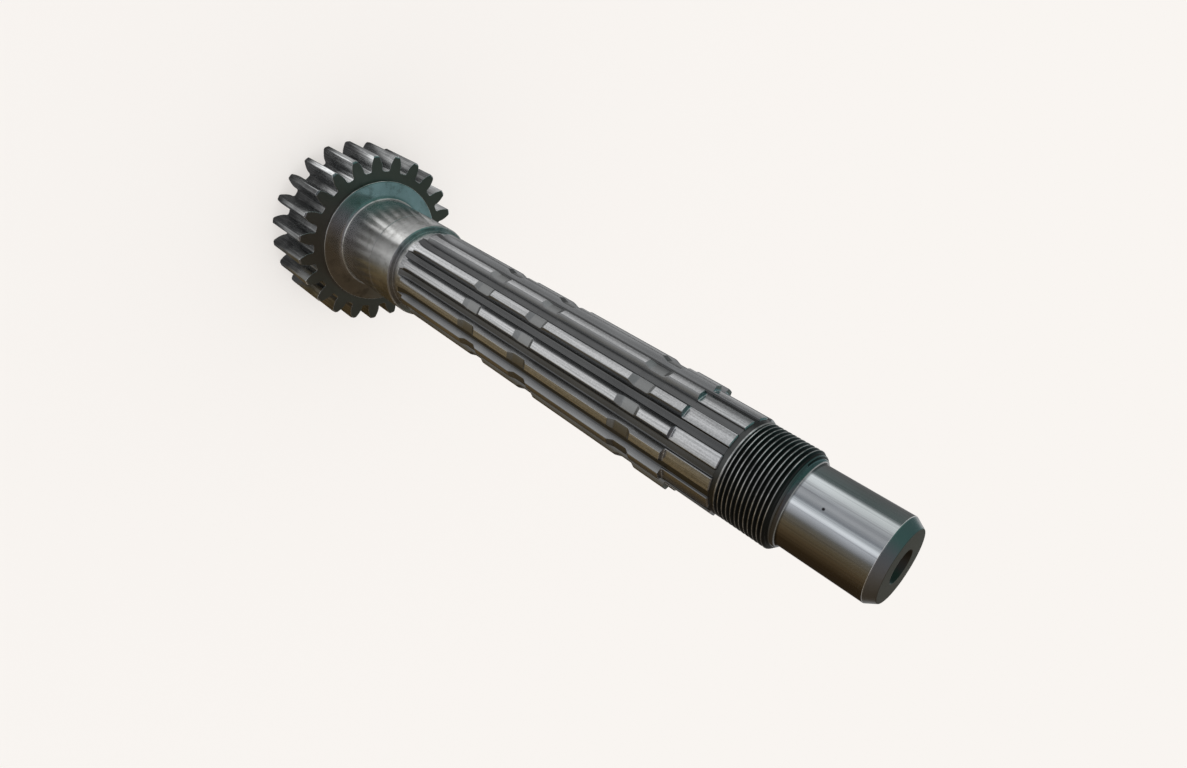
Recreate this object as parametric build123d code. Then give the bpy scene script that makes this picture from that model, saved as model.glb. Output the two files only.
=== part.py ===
"""Splined pinion shaft, one piece, standing on the back face of its gear (Z along the shaft).

Millimetres. The origin is the centre of the gear's back face, +Z runs up to the stub end.
"""
from math import acos, asin, cos, pi, radians, sin, sqrt, tan
import os

from build123d import *

os.makedirs("parts", exist_ok=True)

# ---------------------------------------------------------------- gear (spur, full-depth teeth)
GEAR_TEETH = 23
GEAR_MODULE = 4.0
GEAR_PRESSURE_ANGLE = 20.0
GEAR_WIDTH = 32.5
GEAR_PHASE = 3.1              # turn of one gear tooth past the spline tooth on +X, degrees
GEAR_BACKLASH = 0.15          # tooth thinned by this much on the pitch circle
GEAR_DEDENDUM = 1.25          # depth below the pitch circle, in modules
GEAR_ROOT_FILLET = 1.3
GEAR_TIP_CHAMFER = 0.4        # along both edges of each tooth top
GEAR_END_CHAMFER = 0.8        # turned on the blank at both faces

# ---------------------------------------------------------------- spline (involute, 30 degrees)
SPLINE_TEETH = 14
SPLINE_DIAMETER = 48.6        # over the ground tooth tops; its neighbours step from it
SPLINE_MODULE = SPLINE_DIAMETER / (SPLINE_TEETH + 1)
SPLINE_PRESSURE_ANGLE = 30.0
SPLINE_THICKNESS = 1.63 * SPLINE_MODULE   # of one tooth, round the pitch circle
SPLINE_TOOTH_HEIGHT = 3.2
SPLINE_LENGTH = 184.4         # of the full teeth
SPLINE_RAMP = 0.6             # from the relief up to the tooth tops
CUTTER_RADIUS = 34.0          # the gaps climb out of the root on the cutter's own arc
CUTTER_CLEARANCE = 4.6        # the arc ends this far short of the full teeth

# grooves turned across the tooth tops: places along the full teeth, as shares of their length
NOTCH_PLACES = (0.2820, 0.4897, 0.8433)
NOTCH_DEPTH = 1.1             # the relief beside the journal is turned to the same depth
NOTCH_RAMP_DOWN = 3.3
NOTCH_FLOOR = 7.3
NOTCH_RAMP_UP = 2.0

# ---------------------------------------------------------------- hub ring, journal and relief
RING_INSET = 5.0              # the ring's rim lies this far inside the gear's root circle
RING_HEIGHT = 2.3             # stands this far off the gear's front face at its rim
RING_FACE_RISE = 1.2          # the ring's face is slightly coned up to the journal
RING_EDGE = 0.5
HUB_LENGTH = 51.7             # gear's front face to the end of the journal
JOURNAL_STEP = 1.7            # the journal stands this far outside the spline teeth
JOURNAL_FOOT = 1.3            # small cone between the ring's face and the journal
JOURNAL_BEVEL = 0.7
SCRIBE_TO_END = 18.8          # one fine turned line round the journal
SCRIBE_WIDTH = 0.5
SCRIBE_DEPTH = 0.25
RELIEF_LENGTH = 7.8

# ---------------------------------------------------------------- lands, thread zone and stub
LAND_STEP = 2.3               # past the full teeth low lands go on, this far below their tops
LAND_FOOT = 0.8               # sloped foot of the step down to the lands
LAND_LENGTH = 23.0
COLLAR_LENGTH = 2.3
THREAD_CLEARANCE = 0.1        # the thread's major radius lies this far inside the spline root
THREAD_LENGTH = 22.2
THREAD_CHAMFER = 2.1
SHOULDER_LENGTH = 2.4         # hollow cone from the thread's chamfer down to the stub
STUB_STEP = 3.5               # thread's major radius to the stub
STUB_LENGTH = 38.2
STUB_CHAMFER_DEPTH = 2.5
STUB_CHAMFER_LENGTH = 4.0

# ---------------------------------------------------------------- centre holes in both end faces
CENTRE_RIM_DIAMETER = 14.0
CENTRE_PILOT_DIAMETER = 7.0
CENTRE_CONE_ANGLE = 60.0
CENTRE_PILOT_DEPTH = 13.0
CENTRE_TIP_ANGLE = 118.0

# ---------------------------------------------------------------- radii and stations
gear_pitch = GEAR_MODULE * GEAR_TEETH / 2
gear_tip = gear_pitch + GEAR_MODULE
gear_root = gear_pitch - GEAR_DEDENDUM * GEAR_MODULE
ring = gear_root - RING_INSET
spline_tip = SPLINE_DIAMETER / 2
spline_root = spline_tip - SPLINE_TOOTH_HEIGHT
journal = spline_tip + JOURNAL_STEP
relief = spline_tip - NOTCH_DEPTH
land = spline_tip - LAND_STEP
thread = spline_root - THREAD_CLEARANCE
stub = thread - STUB_STEP

ring_top = GEAR_WIDTH + RING_HEIGHT
journal_end = GEAR_WIDTH + HUB_LENGTH
scribe = journal_end - SCRIBE_TO_END
relief_end = journal_end + RELIEF_LENGTH
spline_start = relief_end + SPLINE_RAMP
runout_start = spline_start - CUTTER_CLEARANCE
spline_end = spline_start + SPLINE_LENGTH
land_end = spline_end + LAND_LENGTH
thread_start = land_end + COLLAR_LENGTH
thread_end = thread_start + THREAD_LENGTH
chamfer_end = thread_end + THREAD_CHAMFER
shoulder_end = chamfer_end + SHOULDER_LENGTH
overall_length = shoulder_end + STUB_LENGTH


def inv(angle):
    """Involute of an angle in radians."""
    return tan(angle) - angle


def tooth_half_angle(module, teeth, pressure, thickness, radius):
    """Half the angle a tooth fills at a radius, in radians."""
    pitch_radius = module * teeth / 2
    base_radius = pitch_radius * cos(radians(pressure))
    at_pitch = thickness / (2 * pitch_radius)
    here = acos(min(1.0, base_radius / radius))
    return at_pitch + inv(radians(pressure)) - inv(here)


def polar(radius, angle):
    return Vector(radius * cos(angle), radius * sin(angle))


def tooth_face(module, teeth, pressure, thickness, inner, outer, tip_chamfer=0.0):
    """One tooth lying across +X: an involute each side, straight below the base circle.

    The involute runs up to the outer radius less the chamfer, which takes off the edge."""
    base_radius = module * teeth / 2 * cos(radians(pressure))
    start = max(inner, base_radius * 1.0005)
    flank_end = outer - tip_chamfer
    radii = [start, (2 * start + flank_end) / 3, (start + 2 * flank_end) / 3, flank_end]
    upper = []
    for radius in radii:
        half = tooth_half_angle(module, teeth, pressure, thickness, radius)
        upper.append(polar(radius, half))
    top_half = tooth_half_angle(module, teeth, pressure, thickness, outer)
    corners = [polar(outer, top_half - tip_chamfer / outer)] if tip_chamfer else []
    if start > inner:
        corners.insert(0, polar(inner, tooth_half_angle(module, teeth, pressure, thickness, start)))
    edges = [Spline(*upper), Spline(*[Vector(p.X, -p.Y) for p in upper])]
    foot = corners[0] if start > inner else upper[0]
    head = corners[-1] if tip_chamfer else upper[-1]
    for near, far in ((foot, upper[0]), (upper[-1], head)):
        if (far - near).length > 0:
            edges.append(Line(near, far))
            edges.append(Line(Vector(near.X, -near.Y), Vector(far.X, -far.Y)))
    edges.append(Line(foot, Vector(foot.X, -foot.Y)))
    edges.append(ThreePointArc(head, polar(outer, 0), Vector(head.X, -head.Y)))
    return make_face(Wire(edges))


def turned(points):
    """Solid of revolution about Z from (radius, z) corners."""
    outline = Polyline(*[(r, 0, z) for r, z in points], close=True)
    return revolve(make_face(outline), Axis.Z)


def gear():
    """Spur gear: teeth on a root disc, cut to the turned blank, filleted at the roots."""
    thickness = pi * GEAR_MODULE / 2 - GEAR_BACKLASH
    one = tooth_face(GEAR_MODULE, GEAR_TEETH, GEAR_PRESSURE_ANGLE, thickness,
                     gear_root - GEAR_MODULE / 2, gear_tip, GEAR_TIP_CHAMFER)
    outline = Circle(gear_root)
    for i in range(GEAR_TEETH):
        outline += Rot(0, 0, GEAR_PHASE + i * 360 / GEAR_TEETH) * one
    roots = [v for v in outline.vertices() if abs(Vector(v.X, v.Y).length - gear_root) < 0.05]
    outline = fillet(roots, GEAR_ROOT_FILLET)
    body = extrude(outline, GEAR_WIDTH)
    c = GEAR_END_CHAMFER
    blank = turned([(0, 0), (gear_tip - c, 0), (gear_tip + 0.01, c),
                    (gear_tip + 0.01, GEAR_WIDTH - c), (gear_tip - c, GEAR_WIDTH),
                    (0, GEAR_WIDTH)])
    return body & blank


def spline_tops():
    """Turned outline over the spline teeth: relief, tops, notches and lands."""
    points = [(relief, journal_end - 1), (relief, relief_end), (spline_tip, spline_start)]
    for place in NOTCH_PLACES:
        start = spline_start + place * SPLINE_LENGTH
        floor_start = start + NOTCH_RAMP_DOWN
        floor_end = floor_start + NOTCH_FLOOR
        points.append((spline_tip, start))
        points.append((relief, floor_start))
        points.append((relief, floor_end))
        points.append((spline_tip, floor_end + NOTCH_RAMP_UP))
    points.append((spline_tip, spline_end))
    points.append((land + LAND_FOOT / 2, spline_end))
    points.append((land, spline_end + LAND_FOOT))
    points.append((land, land_end))
    return points


def spline_teeth():
    """Involute teeth cut to the turned outline over them."""
    inner = spline_root - SPLINE_TOOTH_HEIGHT / 4
    one = tooth_face(SPLINE_MODULE, SPLINE_TEETH, SPLINE_PRESSURE_ANGLE, SPLINE_THICKNESS,
                     inner, spline_tip + SPLINE_TOOTH_HEIGHT / 4)
    tops = spline_tops()
    bottom = tops[0][1]
    bar = Pos(0, 0, bottom) * extrude(one, land_end - bottom)
    core_radius = inner - SPLINE_TOOTH_HEIGHT
    blank = turned([(core_radius, bottom)] + tops + [(core_radius, land_end)])
    tooth = bar & blank
    return [Rot(0, 0, i * 360 / SPLINE_TEETH) * tooth for i in range(SPLINE_TEETH)]


def core():
    """Everything turned, in one revolved outline, with the gaps' floor climbing out at its start."""
    face_top = ring_top + RING_FACE_RISE
    climb = relief - spline_root
    runout = sqrt(CUTTER_RADIUS ** 2 - (CUTTER_RADIUS - climb) ** 2)
    root_start = runout_start + runout
    mid_angle = asin(runout / CUTTER_RADIUS) / 2
    mid = (spline_root + CUTTER_RADIUS * (1 - cos(mid_angle)),
           root_start - CUTTER_RADIUS * sin(mid_angle))
    half = SCRIBE_WIDTH / 2

    def p(r, z):
        return (r, 0, z)

    parts = [
        Polyline(p(0, GEAR_WIDTH / 2), p(ring, GEAR_WIDTH / 2), p(ring, ring_top - RING_EDGE),
                 p(ring - RING_EDGE, ring_top), p(journal + JOURNAL_FOOT, face_top),
                 p(journal, face_top + JOURNAL_FOOT), p(journal, scribe - half),
                 p(journal - SCRIBE_DEPTH, scribe), p(journal, scribe + half),
                 p(journal, journal_end - JOURNAL_BEVEL), p(journal - JOURNAL_BEVEL, journal_end),
                 p(relief, journal_end), p(relief, runout_start)),
        ThreePointArc(p(relief, runout_start), p(*mid), p(spline_root, root_start)),
        Polyline(p(spline_root, root_start), p(spline_root, thread_start),
                 p(thread, thread_start), p(thread, thread_end),
                 p(thread - THREAD_CHAMFER, chamfer_end),
                 p(stub, shoulder_end), p(stub, overall_length - STUB_CHAMFER_LENGTH),
                 p(stub - STUB_CHAMFER_DEPTH, overall_length), p(0, overall_length),
                 p(0, GEAR_WIDTH / 2)),
    ]
    outline = Wire([edge for part in parts for edge in part.edges()])
    return revolve(make_face(outline), Axis.Z)


def centre_hole():
    """Drilled centre, mouth at z = 0 and running down -Z."""
    rim = CENTRE_RIM_DIAMETER / 2
    pilot = CENTRE_PILOT_DIAMETER / 2
    cone_depth = (rim - pilot) / tan(radians(CENTRE_CONE_ANGLE / 2))
    tip = pilot / tan(radians(CENTRE_TIP_ANGLE / 2))
    return turned([(0, 1), (rim, 1), (rim, 0), (pilot, -cone_depth),
                   (pilot, -CENTRE_PILOT_DEPTH), (0, -CENTRE_PILOT_DEPTH - tip)])


shaft = core() + gear()
shaft = shaft + spline_teeth()
shaft = shaft - Pos(0, 0, overall_length) * centre_hole()
shaft = shaft - Rot(180, 0, 0) * centre_hole()
shaft = Solid(shaft.solids()[0].wrapped)
export_step(shaft, "parts/splined_shaft.step")
print("volume cm3", round(shaft.volume / 1000, 1), "box", shaft.bounding_box())
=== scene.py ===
"""Splined pinion shaft of hardened steel, standing on the back face of its gear.

Metres, in the frame of the CAD model: +Z runs up the shaft from gear to stub, +X passes
through the middle of one spline tooth.
"""

from math import cos, pi, radians, sin, tan

import bmesh
import bpy
import numpy as np
from mathutils import Matrix, Vector


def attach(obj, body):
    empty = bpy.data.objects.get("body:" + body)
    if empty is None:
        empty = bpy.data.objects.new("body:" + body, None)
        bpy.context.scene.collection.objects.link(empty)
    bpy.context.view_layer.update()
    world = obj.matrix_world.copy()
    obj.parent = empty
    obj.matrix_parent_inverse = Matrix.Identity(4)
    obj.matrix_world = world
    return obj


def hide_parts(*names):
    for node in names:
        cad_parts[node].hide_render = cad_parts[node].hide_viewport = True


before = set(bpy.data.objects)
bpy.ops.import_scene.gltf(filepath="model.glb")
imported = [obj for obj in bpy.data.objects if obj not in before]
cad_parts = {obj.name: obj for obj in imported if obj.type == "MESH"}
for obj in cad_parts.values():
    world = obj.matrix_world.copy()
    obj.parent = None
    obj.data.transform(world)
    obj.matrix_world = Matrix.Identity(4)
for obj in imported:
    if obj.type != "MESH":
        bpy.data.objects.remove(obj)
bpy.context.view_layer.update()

# ------------------------------------------------------------------ pinion gear
# Spur gear of module 4 with 23 hobbed teeth, in one piece with the shaft. Tooth tops are
# rounded off along their edges and the blank is chamfered at both faces. The faces are
# turned and stay dark, the flanks are satin. The back face carries a drilled centre.
mm = 0.001
gear_teeth = 23
gear_pitch = 46.0 * mm         # radius of the pitch circle
gear_tip = 50.0 * mm
gear_root = 41.0 * mm
gear_width = 32.5 * mm
gear_turn = radians(3.1)
gear_pressure = radians(20)
gear_tooth = 6.133 * mm        # thickness round the pitch circle
gear_chamfer = 0.8 * mm
gear_edge = 0.18 * mm          # small round left on the edges of the faces
chamfer_bend = 0.15 * mm       # how far the bend into the chamfer reaches
root_round = 1.5 * mm
tip_round = 0.45 * mm
hub_radius = 36.0 * mm
centre_rim = 7.0 * mm
centre_pilot = 3.5 * mm
centre_depth = 13.0 * mm
centre_cone = (centre_rim - centre_pilot) / tan(radians(30))
centre_tip = centre_pilot / tan(radians(59))
hair = 0.01 * mm               # closer than this counts as the same place


def involute_half(pitch, pressure, thickness, radius):
    """Half the angle a tooth fills at a radius: half its thickness over the pitch radius,
    plus the involute of the pressure angle, less the involute of the angle at the radius."""
    base = pitch * cos(pressure)
    here = np.arccos(np.minimum(1.0, base / radius))
    return thickness / (2 * pitch) + tan(pressure) - pressure - (np.tan(here) - here)


def xy(radius, angle):
    """Points of a plane from radius and angle, stacked in the last axis."""
    return np.stack(np.broadcast_arrays(radius * np.cos(angle), radius * np.sin(angle)), -1)


def corner(start, tip, end, steps):
    """Round corner as a quadratic curve from start to end with the sharp corner as its
    middle control point: (1-t)^2 start + 2t(1-t) tip + t^2 end."""
    t = np.linspace(0, 1, steps + 1)[:, None]
    return (1 - t) ** 2 * start + 2 * t * (1 - t) * tip + t ** 2 * end


def mesh_piece(name, rings, around=True, **painted):
    """Mesh from rings of points, rings x columns x 3, each ring joined to the next and, if
    it goes around, its last column to its first. Points that coincide become one. What is
    painted, one number a point, is kept as attributes for the material."""
    rows, columns = rings.shape[:2]
    index = np.arange(rows * columns).reshape(rows, columns)
    right = np.roll(index, -1, axis=1)
    quads = np.stack([index[:-1], right[:-1], right[1:], index[1:]], -1)
    quads = (quads if around else quads[:, :-1]).reshape(-1, 4)
    mesh = bpy.data.meshes.new(name)
    mesh.from_pydata(rings.reshape(-1, 3).tolist(), [], quads.tolist())
    for word, values in painted.items():
        values = np.broadcast_to(values, (rows, columns)).astype(np.float32)
        mesh.attributes.new(word, "FLOAT", "POINT").data.foreach_set("value", values.ravel())
    same_place = 0.4e-6
    work = bmesh.new()
    work.from_mesh(mesh)
    bmesh.ops.remove_doubles(work, verts=work.verts, dist=same_place)
    bmesh.ops.dissolve_degenerate(work, edges=work.edges, dist=same_place)
    bmesh.ops.recalc_face_normals(work, faces=work.faces)
    work.to_mesh(mesh)
    work.free()
    mesh.polygons.foreach_set("use_smooth", np.ones(len(mesh.polygons), dtype=bool))
    piece = bpy.data.objects.new(name, mesh)
    bpy.context.scene.collection.objects.link(piece)
    return piece


def gear_outline(tip):
    """Outline of all the teeth for a tip radius, one closed loop: from the middle of a root
    gap round the fillet, out along the involute, over the rounded top, and mirrored."""
    base = gear_pitch * cos(gear_pressure)
    foot = involute_half(gear_pitch, gear_pressure, gear_tooth, base)
    gap = pi / gear_teeth
    floor_end = foot + root_round / gear_root
    floor = xy(gear_root, np.linspace(gap, floor_end, 3))[:-1]
    fillet = corner(xy(gear_root, floor_end), xy(gear_root, foot),
                    xy(gear_root + root_round, foot), 6)
    radii = np.linspace(base, tip - tip_round, 9)
    flank = xy(radii, involute_half(gear_pitch, gear_pressure, gear_tooth, radii))
    tip_half = involute_half(gear_pitch, gear_pressure, gear_tooth, tip)
    crest_half = tip_half - tip_round / tip
    edge = corner(flank[-1], xy(tip, tip_half), xy(tip, crest_half), 5)
    crest = xy(tip, np.linspace(crest_half, 0, 4))
    half = np.concatenate([floor, fillet, flank, edge[1:], crest[1:]])
    half = half[np.concatenate([[True], np.hypot(*np.diff(half, axis=0).T) > 1e-7])]
    tooth = np.concatenate([half, (half * (1, -1))[-2:0:-1]])
    radius, angle = np.hypot(*tooth.T), np.arctan2(tooth[:, 1], tooth[:, 0])
    turns = gear_turn - 2 * pi / gear_teeth * np.arange(gear_teeth)[:, None]
    return xy(radius, angle + turns).reshape(-1, 2)


def inset(loop, distance):
    """Closed loop moved into the solid by a distance, across its own direction."""
    along = np.roll(loop, -1, axis=0) - np.roll(loop, 1, axis=0)
    along /= np.hypot(*along.T)[:, None]
    return loop + distance * np.stack([along[:, 1], -along[:, 0]], -1)


def at_height(loop, z):
    """A loop of a plane as a ring of points at a height."""
    return np.column_stack([loop, np.full(len(loop), z)])


class Signal:
    """A shader socket. Arithmetic on it adds Math nodes."""

    def __init__(self, nodes, socket):
        self.nodes = nodes
        self.socket = socket

    def math(self, operation, *values):
        return self.nodes.node("ShaderNodeMath", {"operation": operation}, values)

    def __add__(self, other):
        return self.math("ADD", self, other)

    def __sub__(self, other):
        return self.math("SUBTRACT", self, other)

    def __rsub__(self, other):
        return self.math("SUBTRACT", other, self)

    def __mul__(self, other):
        return self.math("MULTIPLY", self, other)

    def __truediv__(self, other):
        return self.math("DIVIDE", self, other)

    def __pow__(self, other):
        return self.math("POWER", self, other)

    __radd__ = __add__
    __rmul__ = __mul__

    def step(self, low, high):
        """0 below low, 1 above high, smooth between."""
        return self.nodes.node("ShaderNodeMapRange", {"interpolation_type": "SMOOTHSTEP"},
                               {"Value": self, "From Min": low, "From Max": high})


class Nodes:
    """A node tree in the making."""

    def __init__(self, tree):
        self.tree = tree

    def node(self, kind, settings, values, output=0):
        """A node of a kind, its settings first, then its sockets' numbers or links."""
        made = self.tree.nodes.new(kind)
        for key, value in settings.items():
            if key == "stops":
                ramp = made.color_ramp
                while len(ramp.elements) < len(value):
                    ramp.elements.new(1.0)
                for element, (at, colour) in zip(ramp.elements, value):
                    element.position = at
                    element.color = (*colour, 1)
            else:
                setattr(made, key, value)
        pairs = values.items() if isinstance(values, dict) else enumerate(values)
        for key, value in pairs:
            if isinstance(value, Signal):
                self.tree.links.new(value.socket, made.inputs[key])
            else:
                made.inputs[key].default_value = value
        return Signal(self, made.outputs[output])

    def mix(self, share, low, high):
        """Colour from low to high by a share."""
        low, high = [c if isinstance(c, Signal) else (*c, 1) for c in (low, high)]
        return self.node("ShaderNodeMix", {"data_type": "RGBA"},
                         {0: share, 6: low, 7: high}, 2)


class Surface(Nodes):
    """A material in the making, with its place and its radius from the shaft's axis."""

    def __init__(self, name):
        self.material = bpy.data.materials.new(name)
        self.material.use_nodes = True
        self.material.node_tree.nodes.clear()
        super().__init__(self.material.node_tree)
        self.place = self.node("ShaderNodeTexCoord", {}, {}, "Object")
        self.x = self.node("ShaderNodeSeparateXYZ", {}, [self.place], "X")
        split = self.x.socket.node
        self.y, self.z = Signal(self, split.outputs["Y"]), Signal(self, split.outputs["Z"])
        self.radius = (self.x * self.x + self.y * self.y) ** 0.5

    def painted(self, word):
        """What the mesh carries under a word."""
        return self.node("ShaderNodeAttribute", {"attribute_name": word}, {}, "Fac")

    def noise(self, across, along, detail=2.0, roughness=0.6):
        """Noise with one scale across the shaft and another along it, about 0 to 1."""
        stretched = self.node("ShaderNodeVectorMath", {"operation": "MULTIPLY"},
                              [self.place, (across, across, along)])
        return self.node("ShaderNodeTexNoise", {}, {"Vector": stretched, "Scale": 1.0,
                         "Detail": detail, "Roughness": roughness}, "Fac")

    def rings_noise(self, scale):
        """Noise that changes only with the radius, as lathe marks on a face do."""
        return self.node("ShaderNodeTexNoise", {"noise_dimensions": "1D"},
                         {"W": self.radius * scale, "Scale": 1.0, "Detail": 3.0}, "Fac")

    def metal(self, colour, roughness, normal, ground=0.0):
        """Metal shader. What is ground round and round spreads its highlights lengthwise."""
        return self.node("ShaderNodeBsdfPrincipled", {}, {
            "Base Color": colour, "Metallic": 1.0, "Roughness": roughness,
            "Anisotropic": ground, "Anisotropic Rotation": 0.25, "Normal": normal}, "BSDF")

    def finish(self, piece, colour, roughness, height, bump, ground=0.0, where=0.0):
        """Metal of a colour and roughness, its bump of a height in metres, on the piece,
        with rougher ground metal in its place where a signal says."""
        normal = self.node("ShaderNodeBump", {}, {"Height": height, "Distance": bump,
                                                  "Strength": 1.0}, "Normal")
        shader = self.metal(colour, roughness, normal)
        if ground:
            rougher = 0.08
            over = self.metal(colour, roughness + rougher, normal, ground)
            shader = self.node("ShaderNodeMixShader", {}, [where, shader, over])
        self.show(shader)
        piece.data.materials.append(self.material)

    def show(self, shader):
        """Ends the material in a shader."""
        made = self.tree.nodes.new("ShaderNodeOutputMaterial")
        self.tree.links.new(shader.socket, made.inputs["Surface"])


# Each row of an end: how far below the face, tip radius, how far inset.
chamfered = gear_tip - gear_chamfer
end_rows = [(2 * gear_chamfer, gear_tip, 0.0), (gear_chamfer + chamfer_bend, gear_tip, 0.0),
            (gear_chamfer, gear_tip - chamfer_bend / 5, 0.0),
            (gear_chamfer - chamfer_bend, gear_tip - chamfer_bend, 0.0)]
for turn in np.linspace(0, pi / 2, 5):
    below = gear_edge * (1 - sin(turn))
    end_rows.append((below, chamfered + below, gear_edge * (1 - cos(turn))))
end_rows.append((0.0, chamfered, gear_edge + 0.1 * mm))
front = [at_height(inset(gear_outline(tip), inward), gear_width - below)
         for below, tip, inward in end_rows]
back = [ring * (1, 1, -1) + (0, 0, gear_width) for ring in front[::-1]]
around = np.arctan2(*gear_outline(gear_tip).T[::-1])
# Rows of the drilled centre from its tip to its slightly rounded rim: radius and height.
drilled = [(0.0, centre_depth + centre_tip), (centre_pilot, centre_depth),
           (centre_pilot, centre_cone + 0.1 * mm), (centre_pilot + 0.1 * mm, centre_cone),
           (centre_rim - 0.2 * mm, 0.3 * mm), (centre_rim, 0.06 * mm),
           (centre_rim + 0.15 * mm, 0.0), (centre_rim + 0.5 * mm, 0.0),
           (centre_rim + 23 * mm, 0.0)]
centre = [at_height(xy(r, around), z) for r, z in drilled]
inner_face = [at_height(xy(r, around), gear_width)
              for r in (hub_radius + 2 * mm, hub_radius - 1 * mm, 0.0)]
rings = np.array(centre + back + front + inner_face)
on_face = (rings[..., 2] < hair) | (rings[..., 2] > gear_width - hair)
gear = mesh_piece("pinion_gear", rings, face=on_face)
steel = Surface("gear_steel")
face = steel.painted("face").step(0.4, 0.6)
cloud = steel.noise(60, 60, 3)
fine = steel.noise(900, 300, 2)
along = steel.noise(1500, 60, 2)
lathe = steel.rings_noise(2200)
worn = (cloud * 0.6 + along * 0.6).step(0.45, 0.75)
flank_tone = steel.mix(worn, (0.30, 0.305, 0.31), (0.70, 0.71, 0.71))
face_tone = steel.mix(cloud, (0.16, 0.148, 0.128), (0.26, 0.238, 0.205))
steel.finish(gear, steel.mix(face, flank_tone, face_tone),
             0.16 + 0.12 * fine + 0.06 * cloud + 0.18 * face,
             along * (1 - face) + lathe * face * 0.6 + fine * 0.3, 0.016 * mm)
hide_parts("splined_shaft")
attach(gear, "root")

# ------------------------------------------------------------------ hub ring and journal
# Turned and ground in one setting: a polished ring standing off the gear, a bearing journal
# with one scribed line round it, a small bevel at its end and a relief before the splines.
ring_foot = 30.0 * mm          # inside the gear
ring_top = gear_width + 2.3 * mm
ring_rise = 1.2 * mm
journal_radius = 26.0 * mm
journal_end = 84.2 * mm
journal_bevel = 0.7 * mm
relief_radius = 23.2 * mm
runout_start = 88.0 * mm
lap = 0.1 * mm                 # how far one piece runs into the next
scribe = 65.4 * mm
scribe_depth = 0.25 * mm


def soften(points, rounds, steps=5):
    """Polyline with each corner replaced by a quadratic curve of the given reach, and one
    more point beyond each end of it, so that smooth shading stays within the corner."""
    beyond = 1.4
    points = np.asarray(points, dtype=float)
    out = [points[:1]]
    for before, here, after, reach in zip(points, points[1:], points[2:], rounds):
        back = (before - here) / np.hypot(*(before - here))
        on = (after - here) / np.hypot(*(after - here))
        out.append((here + back * reach * beyond)[None])
        out.append(corner(here + back * reach, here, here + on * reach, steps))
        out.append((here + on * reach * beyond)[None])
    out.append(points[-1:])
    return np.concatenate(out)


def turned_piece(name, outline, columns=240):
    """Solid of revolution from an outline of (radius, height) points."""
    angle = np.linspace(0, 2 * pi, columns, endpoint=False)
    radius, height = np.asarray(outline).T
    rings = np.dstack([xy(radius[:, None], angle),
                       np.broadcast_to(height[:, None], (len(radius), columns))])
    return mesh_piece(name, rings)


outline = soften(
    [(0, ring_foot), (hub_radius, ring_foot), (hub_radius, ring_top),
     (journal_radius, ring_top + ring_rise), (journal_radius, scribe - scribe_depth),
     (journal_radius - scribe_depth, scribe), (journal_radius, scribe + scribe_depth),
     (journal_radius, journal_end - journal_bevel),
     (journal_radius - journal_bevel, journal_end), (relief_radius, journal_end),
     (relief_radius, runout_start + lap), (0, runout_start + lap)],
    [0.2 * mm, 0.6 * mm, 1.9 * mm, 0.05 * mm, 0.08 * mm, 0.05 * mm, 0.12 * mm, 0.12 * mm,
     0.3 * mm, 0.05 * mm])
journal = turned_piece("hub_and_journal", outline)
steel = Surface("journal_steel")
cloud = steel.noise(45, 70, 3)
stain = steel.noise(140, 120, 4, 0.7)
on_ring = 1 - steel.z.step(ring_top + 0.6 * ring_rise, ring_top + 1.3 * ring_rise)
marks = steel.noise(25, 1500, 3) * (1 - on_ring) + steel.rings_noise(900) * 0.15 * on_ring
tone = steel.mix(cloud.step(0.35, 0.7), (0.50, 0.50, 0.49), (0.66, 0.66, 0.65))
tone = steel.mix(stain.step(0.50, 0.70) * 0.6, tone, (0.26, 0.255, 0.235))
steel.finish(journal, tone, 0.07 + 0.08 * stain + 0.05 * marks, marks, 0.002 * mm, 0.9,
             1 - on_ring)
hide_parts("splined_shaft")
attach(journal, "root")

# ------------------------------------------------------------------ splines
# Fourteen involute spline teeth of 30 degrees, hobbed into the shaft and ground on top. The
# gaps climb out of the root on the hob's own arc. Three shallow grooves are turned across
# the tooth tops, and past the full teeth low lands go on to the collar of the thread.
spline_teeth = 14
spline_pitch = 22.68 * mm      # radius of the pitch circle
spline_pressure = radians(30)
spline_tooth = 5.28 * mm       # thickness round the pitch circle
spline_tip = 24.3 * mm
spline_root = 21.1 * mm
spline_start = 92.6 * mm
spline_ramp = 0.6 * mm
spline_end = 277.0 * mm
land_radius = 22.0 * mm
land_end = 300.0 * mm
hob_radius = 34.0 * mm
top_edge = 0.28 * mm
foot_round = 0.5 * mm
most_round = 0.3               # of the tooth's height, where it is low
grooves = (144.6 * mm, 182.9 * mm, 248.1 * mm)
ramp_down = 3.3 * mm
groove_floor = 7.3 * mm
ramp_up = 2.0 * mm

# The line of the tooth tops along the shaft: heights and radii, then the rounds between.
top_corners = [(runout_start, relief_radius), (spline_start - spline_ramp, relief_radius),
               (spline_start, spline_tip)]
top_rounds = [0.12 * mm, 0.15 * mm]
for start in grooves:
    floor_start = start + ramp_down
    floor_stop = floor_start + groove_floor
    top_corners += [(start, spline_tip), (floor_start, relief_radius),
                    (floor_stop, relief_radius), (floor_stop + ramp_up, spline_tip)]
    top_rounds += [0.3 * mm, 0.5 * mm, 0.5 * mm, 0.3 * mm]
top_corners += [(spline_end, spline_tip), (spline_end, land_radius), (land_end, land_radius)]
top_rounds += [0.15 * mm, 0.6 * mm]
top_line = soften(top_corners, top_rounds, 4)
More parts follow.
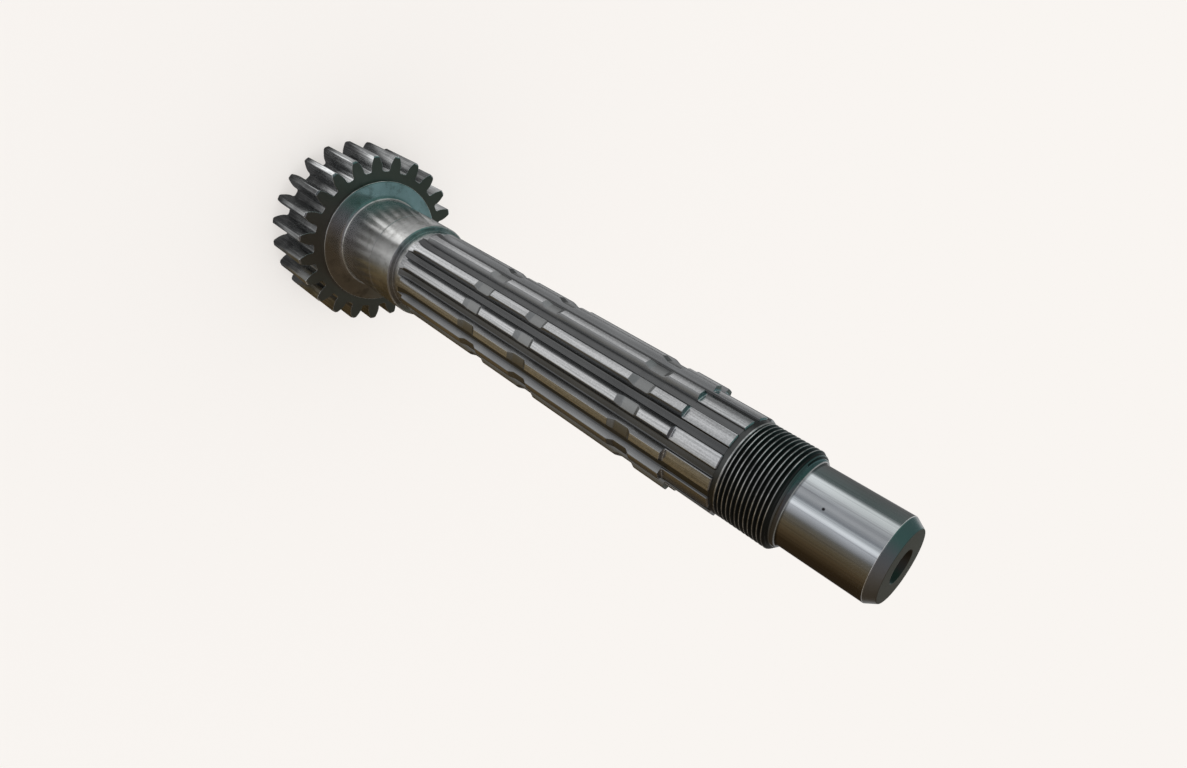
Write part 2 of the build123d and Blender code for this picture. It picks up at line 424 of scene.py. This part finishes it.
# More stations where the hob climbs out, and one close to each end.
runout = (hob_radius ** 2 - (hob_radius - (relief_radius - spline_root)) ** 2) ** 0.5
climb = runout_start + np.linspace(0, runout, 14)
climb_line = np.column_stack([climb, np.interp(climb, *top_line.T)])
near_end = 0.05 * mm
end_line = [(runout_start + near_end, relief_radius), (land_end - near_end, land_radius)]
stations = np.concatenate([top_line, climb_line, end_line])
stations = stations[np.argsort(stations[:, 0], kind="stable")]
at_end = np.isclose(stations[:, 0], spline_end)
stations[at_end] = stations[at_end][np.argsort(-stations[at_end][:, 1])]
height, top = stations.T
still_to_climb = np.clip(runout_start + runout - height, 0, runout)
floor = spline_root + hob_radius - np.sqrt(hob_radius ** 2 - still_to_climb ** 2)
floor = np.minimum(floor, top - 2 * hair)


def spline_rings(height, top, floor):
    """Rings of the splines. Across each tooth: middle of the gap, a foot fillet, the
    involute flank shifted out by as much as the hob has climbed, the rounded edge, the top
    at the turned radius of its station, and the mirror image."""
    climbed = floor - spline_root

    def half(radius):
        """Half the angle of a tooth at a radius."""
        return involute_half(spline_pitch, spline_pressure, spline_tooth, radius - climbed)

    rise = top - floor
    foot = np.minimum(foot_round, most_round * rise)
    edge = np.minimum(top_edge, most_round * rise)
    half_gap = pi / spline_teeth - half(floor)
    radii = [floor, floor]
    angles = [half(floor) + half_gap, half(floor) + half_gap * 0.55]
    t = np.linspace(0, 1, 5)
    for s in t:
        radii.append(floor + foot * s ** 2)
        spread = (1 - s) ** 2 * np.minimum(foot / floor, 0.6 * half_gap)
        angles.append(half(radii[-1]) + spread)
    for share in np.linspace(0, 1, 7)[1:]:
        radii.append(floor + foot + (rise - foot - edge) * share)
        angles.append(half(radii[-1]))
    for s in t[1:]:
        radii.append(top - edge * (1 - s) ** 2)
        angles.append((1 - s) ** 2 * half(top - edge) + 2 * s * (1 - s) * half(top)
                      + s ** 2 * (half(top) - edge / top))
    for share in (0.93, 0.5, 0.0):
        radii.append(top)
        angles.append((half(top) - edge / top) * share)
    radii, angles = np.array(radii), np.array(angles)
    radii = np.concatenate([radii, radii[-2:0:-1]])
    angles = np.concatenate([angles, -angles[-2:0:-1]])
    turns = -2 * pi / spline_teeth * np.arange(spline_teeth)[:, None, None]
    angles = (angles + turns).reshape(-1, len(height)).T
    radii = np.tile(radii, (spline_teeth, 1)).T
    return np.dstack([xy(radii, angles), np.broadcast_to(height[:, None], radii.shape)])


def closed(rows):
    """Rows with the first and the last once more, for the two ends."""
    return np.concatenate([rows[:1], rows, rows[-1:]])


rings = closed(spline_rings(height, top, floor))
rings[[0, -1], :, :2] = 0.0
tops, floors, heights = [closed(line)[:, None] for line in (top, floor, height)]
distance = np.hypot(rings[..., 0], rings[..., 1])
on_top = distance > tops - 0.05 * mm
# Painted shade darkens the foot of the flanks, in the corners of the gaps, fading out within a
# third of a millimetre.
in_corner = np.exp(-((distance - floors - 0.25 * mm) / (0.35 * mm)) ** 2)
in_groove = (tops < spline_tip - 2 * hair) & (heights > spline_start + 1 * mm)
in_groove &= heights < spline_end - 1 * mm
splines = mesh_piece("splines", rings, top=on_top, corner=in_corner, groove=in_groove)
steel = Surface("spline_steel")
ground_top = steel.painted("top").step(0.3, 0.8)
cloud = steel.noise(80, 30, 3)
grain = steel.noise(1400, 1100, 2)
drawn = steel.noise(1600, 25, 3)
# Painted shade in the corners at the foot of the flanks, none on the ground tops.
corner_shade = steel.painted("corner") * (1 - ground_top)
groove = steel.painted("groove").step(0.1, 0.6)
# The flanks and gap floors are darker than the ground tops. This is partly their own duller
# finish and partly painted shade in the gaps.
flank_tone = steel.mix(cloud, (0.16, 0.163, 0.168), (0.34, 0.345, 0.35))
flank_tone = steel.mix(corner_shade * 0.85, flank_tone, (0.03, 0.03, 0.03))
top_tone = steel.mix((0.35 * grain + 0.65 * drawn).step(0.35, 0.65),
                     (0.38, 0.385, 0.39), (0.66, 0.665, 0.675))
top_tone = steel.mix(groove, top_tone, (0.27, 0.275, 0.275))
steel.finish(splines, steel.mix(ground_top, flank_tone, top_tone),
             0.17 + 0.10 * drawn + 0.06 * grain + 0.08 * groove,
             grain * ground_top * 0.2 + drawn * (1 - 0.6 * ground_top), 0.012 * mm)
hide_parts("splined_shaft")
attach(splines, "root")

# ------------------------------------------------------------------ lock-nut thread
# Right-hand thread M42 x 2, cut between a short collar and a chamfer, left dark from the
# heat treatment with its crests rubbed bright.
thread_pitch = 2.0 * mm
thread_radius = 21.0 * mm
thread_first = 304.2 * mm      # a crest on the +X side
thread_start = 302.3 * mm
thread_end = 324.5 * mm
thread_depth = 1.1 * mm
thread_run_in = 0.6 * mm       # from the start to where the cut begins
thread_fade = 0.9 * mm         # over which it comes to its full depth
thread_chamfer = 2.1 * mm
collar_radius = 21.1 * mm
collar_start = land_end - 0.5 * mm
# The form of one turn: how far from its crest, in pitches, and share of the full depth.
form = np.array([(-0.5, 1.0), (-0.42, 0.97), (-0.34, 0.8), (-0.1, 0.06), (-0.055, 0.0),
                 (0.0, -0.01), (0.055, 0.0), (0.1, 0.06), (0.34, 0.8), (0.42, 0.97)])
turns = np.arange(-3, 15)
phase = (turns[:, None] + form[:, 0]).ravel()
depth = np.tile(form[:, 1], len(turns)) * thread_depth
angle = np.linspace(0, 2 * pi, 241)
high = thread_end + thread_chamfer
free = thread_first + thread_pitch * (phase[:, None] + angle / (2 * pi))
z = np.clip(free, collar_start, high)
fade = np.clip((z - thread_start - thread_run_in) / thread_fade, 0, 1)
cut = np.where((free > collar_start) & (free < high), depth[:, None], 0.0)
radius = thread_radius - fade * cut
radius = np.where(z < thread_start, collar_radius, radius)
radius = np.minimum(radius, thread_radius - np.maximum(z - thread_end, 0))
rings = closed(np.dstack([xy(radius, angle), z]))
rings[0] = (0, 0, collar_start)
rings[-1] = (0, 0, high)
share_cut = closed(fade * cut) / thread_depth
share_cut[[0, -1]] = 0.0
thread = mesh_piece("lock_thread", rings, around=False, deep=share_cut)
steel = Surface("thread_steel")
deep = steel.painted("deep").step(0.0, 0.12)
wear = steel.noise(160, 200, 4, 0.7)
fine = steel.noise(1200, 1200, 2)
plain_end = steel.z.step(thread_end - 0.2 * mm, thread_end + 0.2 * mm)
collar = 1 - steel.z.step(thread_start - 0.1 * mm, thread_start + 0.1 * mm)
crest = steel.mix(wear.step(0.3, 0.7), (0.30, 0.30, 0.295), (0.80, 0.80, 0.78))
crest = steel.mix(plain_end, crest, (0.24, 0.25, 0.245))
crest = steel.mix(collar, crest, (0.09, 0.092, 0.09))
steel.finish(thread, steel.mix(deep, crest, (0.035, 0.038, 0.036)),
             0.30 + 0.12 * fine + 0.1 * deep, fine, 0.01 * mm)
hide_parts("splined_shaft")
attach(thread, "root")

# ------------------------------------------------------------------ stub
# Ground end journal with a wide chamfer and a drilled centre; a hollow shoulder leads down
# to it from the thread.
stub_radius = 17.5 * mm
stub_shoulder = 329.0 * mm
stub_chamfer = 363.2 * mm
stub_end_radius = 15.0 * mm
top_end = 367.2 * mm
neck = thread_radius - thread_chamfer
shoulder = thread_end + thread_chamfer
stub_foot = shoulder - 1 * mm  # inside the thread
pit_at = radians(-16.4)
pit_height = 340.0 * mm
pit_place = (stub_radius * cos(pit_at), stub_radius * sin(pit_at), pit_height)
hollow = corner(np.array([neck, shoulder]), np.array([stub_radius, shoulder + 0.3 * mm]),
                np.array([stub_radius, stub_shoulder]), 10)
up_to = soften(
    [(stub_radius, stub_shoulder), (stub_radius, stub_chamfer), (stub_end_radius, top_end),
     (centre_rim, top_end), (centre_pilot, top_end - centre_cone),
     (centre_pilot, top_end - centre_depth), (0, top_end - centre_depth - centre_tip)],
    [0.25 * mm, 0.25 * mm, 0.15 * mm, 0.2 * mm, 0.1 * mm])
outline = np.concatenate([[(0, stub_foot), (neck - lap, stub_foot)], hollow[:-1], up_to])
stub = turned_piece("stub", outline)
steel = Surface("stub_steel")
cloud = steel.noise(50, 18, 3)
stain = steel.noise(220, 160, 4, 0.7)
marks = steel.noise(40, 2600, 3)
drawn = steel.noise(900, 14, 3)
end = steel.z.step(stub_chamfer, stub_chamfer + 0.3 * mm)
flat = steel.z.step(top_end - 0.15 * mm, top_end - 0.02 * mm)
in_neck = 1 - steel.z.step(stub_shoulder - 0.6 * mm, stub_shoulder + 0.3 * mm)
in_hole = 1 - steel.radius.step(centre_rim - 0.1 * mm, centre_rim + 0.1 * mm)
from_pit = steel.node("ShaderNodeVectorMath", {"operation": "DISTANCE"},
                      [steel.place, pit_place], "Value")
tone = steel.mix(cloud.step(0.35, 0.7), (0.60, 0.60, 0.59), (0.74, 0.74, 0.74))
tone = steel.mix(drawn.step(0.45, 0.7) * 0.6, tone, (0.38, 0.38, 0.38))
tone = steel.mix(end, tone, (0.34, 0.35, 0.35))
tone = steel.mix(in_neck * 0.7, tone, (0.10, 0.11, 0.11))
tone = steel.mix(flat, tone, (0.19, 0.165, 0.14))
tone = steel.mix(in_hole * end, tone, (0.085, 0.080, 0.070))
tone = steel.mix(from_pit.step(0.3 * mm, 0.8 * mm), (0.03, 0.03, 0.03), tone)
steel.finish(stub, tone, 0.06 + 0.05 * stain + 0.08 * drawn + 0.18 * end,
             marks * 0.3 + drawn * 0.7, 0.008 * mm)
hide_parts("splined_shaft")
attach(stub, "root")

# ------------------------------------------------------------------ camera
# Close above the stub end and to one side, looking down the shaft, rolled so that the shaft
# runs from the upper left of the picture to its lower right.
eye = Vector((0.28071, -0.03920, 0.41907))
look = Vector((-0.80686, 0.12345, -0.57770)).normalized()
picture_up = Vector((0.17892, -0.88093, -0.43813))
picture_right = look.cross(picture_up).normalized()
picture_up = picture_right.cross(look)
camera_data = bpy.data.cameras.new("camera")
camera_data.sensor_width = 36
camera_data.lens = 23.353
camera_data.clip_start = 0.01
camera = bpy.data.objects.new("camera", camera_data)
turn = Matrix((picture_right, picture_up, -look)).transposed()
camera.matrix_world = Matrix.Translation(eye) @ turn.to_4x4()
bpy.context.scene.collection.objects.link(camera)
bpy.context.scene.camera = camera

# ------------------------------------------------------------------ floor
# Pale floor of matt paper. It takes the shaft's shadow, and a glow that only the
# background's rays see keeps it nearly as pale as the air.
pale = (0.947, 0.913, 0.880)
floor_reach = 60.0
floor_mesh = bpy.data.meshes.new("floor")
floor_mesh.from_pydata([(-floor_reach, -floor_reach, 0), (floor_reach, -floor_reach, 0),
                        (floor_reach, floor_reach, 0), (-floor_reach, floor_reach, 0)],
                       [], [(0, 1, 2, 3)])
paper_floor = bpy.data.objects.new("floor", floor_mesh)
bpy.context.scene.collection.objects.link(paper_floor)


def background_rays(nodes):
    """1 for the rays that show the background: from the camera, off metal, through glass."""
    camera_ray = nodes.node("ShaderNodeLightPath", {}, {}, "Is Camera Ray")
    path = camera_ray.socket.node
    glossy_ray = Signal(nodes, path.outputs["Is Glossy Ray"])
    transmission_ray = Signal(nodes, path.outputs["Is Transmission Ray"])
    return camera_ray + glossy_ray + transmission_ray


paper = Surface("floor_paper")
matt = paper.node("ShaderNodeBsdfPrincipled", {}, {
    "Base Color": (*pale, 1), "Roughness": 0.9, "Specular IOR Level": 0.0}, "BSDF")
glow = paper.node("ShaderNodeEmission", {}, {"Color": (*pale, 1)}, "Emission")
paper.show(paper.node("ShaderNodeMixShader", {}, [0.6 * background_rays(paper), matt, glow]))
floor_mesh.materials.append(paper.material)

# ------------------------------------------------------------------ cards and light
# Two cards that only reflections see stand for the darker room round the polished steel:
# one over the floor, pale toward -Y and +X and brown toward +Y, and a dark one overhead.
# A pale room and one wide soft sun light everything.
card_reach = 4.0
card_height = 0.4 * mm
card_hole = 40.5 * mm          # under the gear
card_sides = 72
card_angles = np.linspace(0, 2 * pi, card_sides + 1)[:-1]


def card(name, points, bands):
    """A card seen only in reflections, from rings of points. Its colour is set by direction
    round the shaft, in bands: each has the distances between which it takes over, and its
    stops, in degrees from +X."""
    index = np.arange(len(points)).reshape(-1, card_sides)
    right = np.roll(index, -1, axis=1)
    faces = np.stack([index[:-1], right[:-1], right[1:], index[1:]], -1).reshape(-1, 4)
    mesh = bpy.data.meshes.new(name)
    mesh.from_pydata(points, [], faces.tolist())
    made = bpy.data.objects.new(name, mesh)
    bpy.context.scene.collection.objects.link(made)
    for kind in ("camera", "diffuse", "transmission", "volume_scatter", "shadow"):
        setattr(made, "visible_" + kind, False)
    paint = Surface(name)
    turn = paint.node("ShaderNodeMath", {"operation": "ARCTAN2"}, [paint.y, paint.x])
    share = turn / (2 * pi) + 0.5
    tone = (0.0, 0.0, 0.0)
    for begins, full, stops in bands:
        stops = [(degrees / 360 + 0.5, colour) for degrees, colour in stops]
        colour = paint.node("ShaderNodeValToRGB", {"stops": stops}, [share], "Color")
        tone = paint.mix(paint.radius.step(begins, full), tone, colour)
    paint.show(paint.node("ShaderNodeEmission", {}, {"Color": tone}, "Emission"))
    mesh.materials.append(paint.material)


def grey(level, red=0.0, blue=0.0):
    """A light level, a little more red or blue by a share."""
    return (level * (1 + red), level, level * (1 + blue))


# The low card: under the teeth, close to the gear, as the journal sees it, in the middle,
# as the splines see it, and far out, as the stub sees it.
brown = (0.13, 0.088, 0.038)
under_stops = [(-180, grey(0.07)), (180, grey(0.07))]
near_stops = [(-180, grey(0.30)), (-150, grey(0.10, 0, 0.05)), (-120, grey(0.70)),
              (-98, grey(0.14)), (-72, grey(0.45)), (-48, grey(0.70)), (-38, grey(1.5)),
              (-26, grey(1.30)), (-18, grey(0.16)), (-6, grey(0.22)), (8, grey(0.45)),
              (30, grey(0.24)), (48, (0.13, 0.10, 0.05)), (75, (0.09, 0.06, 0.028)),
              (95, (0.05, 0.035, 0.015)), (150, (0.04, 0.03, 0.015)), (170, grey(0.30))]
middle_stops = [(-180, grey(0.42)), (-152, grey(0.60)), (-135, grey(0.14)), (-105, grey(0.12)),
                (-98, grey(0.38)), (-90, grey(0.90)), (-70, grey(0.74)), (-53, grey(0.43)),
                (-45, grey(1.10)), (-36, grey(0.74)), (-20, grey(0.43)), (-5, grey(0.84)),
                (9, grey(1.02)), (17, grey(0.72)), (30, grey(0.38, 0.04, -0.1)),
                (52, (0.25, 0.20, 0.12)), (66, (0.19, 0.14, 0.072)), (105, brown),
                (115, (0.05, 0.04, 0.028)), (140, (0.06, 0.05, 0.04)), (158, grey(0.50))]
far_stops = [(-180, grey(0.45)), (-163, grey(0.13)), (-98, (0.11, 0.14, 0.14)),
             (-91, (0.24, 0.27, 0.28)), (-85, (0.86, 0.92, 0.94)), (-72, (0.76, 0.81, 0.83)),
             (-56, (0.54, 0.57, 0.60)), (-44, (0.34, 0.36, 0.39)), (-33, (0.44, 0.46, 0.49)),
             (-18, (0.22, 0.24, 0.27)), (-12, (0.66, 0.71, 0.76)), (-1, (0.95, 1.0, 1.06)),
             (4, (0.55, 0.58, 0.63)), (20, (0.27, 0.28, 0.30)), (28, (0.13, 0.125, 0.11)),
             (50, (0.127, 0.10, 0.06)), (72, (0.085, 0.058, 0.03)), (100, (0.035, 0.022, 0.010)),
             (150, (0.025, 0.017, 0.010)), (172, grey(0.40))]
points = [(*p, card_height) for radius in (card_hole, card_reach)
          for p in xy(radius, card_angles)]
card("low_card", points, [(0.0, 0.01, under_stops), (0.052, 0.060, near_stops),
                          (0.075, 0.14, middle_stops), (0.6, 1.0, far_stops)])

# Overhead it is dark: blue-green toward -X and -Y, brown toward +Y, with a pale strip of
# windows low round it, which every small edge catches.
sky_stops = [(-180, (0.15, 0.21, 0.20)), (-168, (0.19, 0.31, 0.33)), (-140, (0.09, 0.17, 0.17)),
             (-70, (0.09, 0.20, 0.185)), (-25, (0.17, 0.19, 0.21)), (20, (0.15, 0.14, 0.15)),
             (70, (0.11, 0.085, 0.06)), (150, (0.075, 0.055, 0.035)), (174, (0.12, 0.13, 0.115))]
strip_stops = [(-180, grey(0.8)), (20, grey(0.8)), (70, (0.4, 0.36, 0.3)), (150, grey(0.4))]
points = [(*p, card_reach * sin(up)) for up in np.linspace(0, pi / 2, 19)
          for p in xy(card_reach * cos(up), card_angles)]
card("high_card", points, [(0.0, 0.01, sky_stops), (3.88, 3.97, strip_stops)])

world = bpy.data.worlds.new("world")
world.use_nodes = True
air = Nodes(world.node_tree)
air_tone = air.mix(background_rays(air), (0.93, 0.93, 0.93), pale)
room = air.tree.nodes["Background"]
air.tree.links.new(air_tone.socket, room.inputs["Color"])
bpy.context.scene.world = world
sun_data = bpy.data.lights.new("key", "SUN")
sun_data.energy = 0.25
sun_data.angle = radians(50)
sun = bpy.data.objects.new("key", sun_data)
sun.rotation_euler = (radians(-25), radians(15), 0)
bpy.context.scene.collection.objects.link(sun)
bpy.context.scene.view_settings.view_transform = "Standard"
